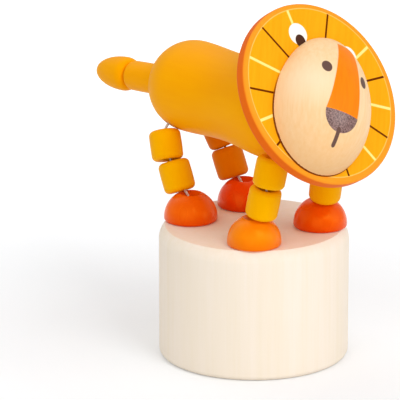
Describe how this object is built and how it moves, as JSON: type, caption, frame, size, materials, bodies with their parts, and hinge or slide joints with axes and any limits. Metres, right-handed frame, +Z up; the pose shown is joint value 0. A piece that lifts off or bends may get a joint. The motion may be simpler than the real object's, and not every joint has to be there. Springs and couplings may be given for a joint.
{
  "type": "push puppet",
  "caption": "Push puppet: a wooden lion of painted beads strung on cords over a hollow round base. Pressing the sprung button under the base makes it sink back.",
  "frame": {"origin": "on the base's axis, in the plane of the rim that stands on the table", "axes": "+X the way the lion faces, +Y the lion's left, +Z up along the base's axis"},
  "size_m": [0.1032, 0.05, 0.0967],
  "materials": {
    "base_wood": "clear satin lacquer over pale wood",
    "button_wood": "plain sanded pale wood",
    "spring_steel": "bright wire",
    "foot_paint": "satin red-orange stain on wood",
    "leg_paint": "satin yellow-orange stain on wood",
    "body_paint": "satin yellow-orange stain on wood",
    "mane_paint": "satin orange stain with a printed face ring",
    "face_wood": "clear satin lacquer over peach wood, painted features",
    "tail_paint": "satin yellow-orange stain on wood",
    "cord_thread": "pale matte thread"
  },
  "bodies": {
    "base": {"base_shell": "base_wood", "foot_front_left": "foot_paint", "foot_front_right": "foot_paint", "foot_rear_left": "foot_paint", "foot_rear_right": "foot_paint", "return_spring": "spring_steel", "cord_front_left": "cord_thread", "cord_front_right": "cord_thread", "cord_rear_left": "cord_thread", "cord_rear_right": "cord_thread"},
    "button": {"push_button": "button_wood"},
    "shin_front_left": {"shin_front_left": "leg_paint"},
    "shin_front_right": {"shin_front_right": "leg_paint"},
    "shin_rear_left": {"shin_rear_left": "leg_paint"},
    "shin_rear_right": {"shin_rear_right": "leg_paint"},
    "thigh_front_left": {"thigh_front_left": "leg_paint"},
    "thigh_front_right": {"thigh_front_right": "leg_paint"},
    "thigh_rear_left": {"thigh_rear_left": "leg_paint"},
    "thigh_rear_right": {"thigh_rear_right": "leg_paint"},
    "torso": {"torso": "body_paint"},
    "head": {"mane_disc": "mane_paint", "face_block": "face_wood"},
    "tail_root": {"tail_root": "tail_paint"},
    "tail_tip": {"tail_tip": "tail_paint"}
  },
  "joints": [
    {"name": "button_slide", "type": "slide", "parent": "base", "child": "button", "axis": [0, 0, 1], "range_m": [0, 0.008], "stiffness_N_per_m": 400, "springref_m": -0.01, "deforming": ["return_spring", "cord_front_left", "cord_front_right", "cord_rear_left", "cord_rear_right"]},
    {"name": "ankle_front_left", "type": "hinge", "parent": "base", "child": "shin_front_left", "pos_m": [0.01275, 0.01185, 0.03595], "axis": [0, 1, 0], "range_deg": [-28, 0]},
    {"name": "knee_front_left", "type": "hinge", "parent": "shin_front_left", "child": "thigh_front_left", "pos_m": [0.01885, 0.01091, 0.05044], "axis": [0, 1, 0], "range_deg": [0, 25.5]},
    {"name": "ankle_front_right", "type": "hinge", "parent": "base", "child": "shin_front_right", "pos_m": [0.01275, -0.01185, 0.03595], "axis": [0, 1, 0], "range_deg": [-28, 0]},
    {"name": "knee_front_right", "type": "hinge", "parent": "shin_front_right", "child": "thigh_front_right", "pos_m": [0.01885, -0.01091, 0.05044], "axis": [0, 1, 0], "range_deg": [0, 25.5]},
    {"name": "ankle_rear_left", "type": "hinge", "parent": "base", "child": "shin_rear_left", "pos_m": [-0.0142, 0.00955, 0.03595], "axis": [0, 1, 0], "range_deg": [-28, 0]},
    {"name": "knee_rear_left", "type": "hinge", "parent": "shin_rear_left", "child": "thigh_rear_left", "pos_m": [-0.01905, 0.00948, 0.05071], "axis": [0, 1, 0], "range_deg": [0, 13]},
    {"name": "ankle_rear_right", "type": "hinge", "parent": "base", "child": "shin_rear_right", "pos_m": [-0.0142, -0.00955, 0.03595], "axis": [0, 1, 0], "range_deg": [-28, 0]},
    {"name": "knee_rear_right", "type": "hinge", "parent": "shin_rear_right", "child": "thigh_rear_right", "pos_m": [-0.01905, -0.00948, 0.05071], "axis": [0, 1, 0], "range_deg": [0, 13]},
    {"name": "hip_rear_right", "type": "hinge", "parent": "thigh_rear_right", "child": "torso", "pos_m": [-0.02388, -0.00955, 0.05341], "axis": [0, 1, 0], "range_deg": [0, 6]},
    {"name": "neck", "type": "hinge", "parent": "torso", "child": "head", "pos_m": [0.0098, 0, 0.06794], "axis": [0, 1, 0], "range_deg": [0, 22]},
    {"name": "tail_base", "type": "hinge", "parent": "torso", "child": "tail_root", "pos_m": [-0.0233, 0, 0.06793], "axis": [0, 1, 0], "range_deg": [-20, 0]},
    {"name": "tail_joint", "type": "hinge", "parent": "tail_root", "child": "tail_tip", "pos_m": [-0.04852, 0, 0.06295], "axis": [0, 1, 0], "range_deg": [-16, 0]}
  ],
  "couplings": [
    {"joint": "ankle_front_left", "follows": "button_slide", "rad_per_m": -61.086},
    {"joint": "knee_front_left", "follows": "button_slide", "rad_per_m": 55.632},
    {"joint": "ankle_front_right", "follows": "button_slide", "rad_per_m": -61.086},
    {"joint": "knee_front_right", "follows": "button_slide", "rad_per_m": 55.632},
    {"joint": "ankle_rear_left", "follows": "button_slide", "rad_per_m": -61.086},
    {"joint": "knee_rear_left", "follows": "button_slide", "rad_per_m": 28.361},
    {"joint": "ankle_rear_right", "follows": "button_slide", "rad_per_m": -61.086},
    {"joint": "knee_rear_right", "follows": "button_slide", "rad_per_m": 28.361},
    {"joint": "hip_rear_right", "follows": "button_slide", "rad_per_m": 13.089},
    {"joint": "neck", "follows": "button_slide", "rad_per_m": 47.996},
    {"joint": "tail_base", "follows": "button_slide", "rad_per_m": -43.633},
    {"joint": "tail_joint", "follows": "button_slide", "rad_per_m": -34.906}
  ]
}
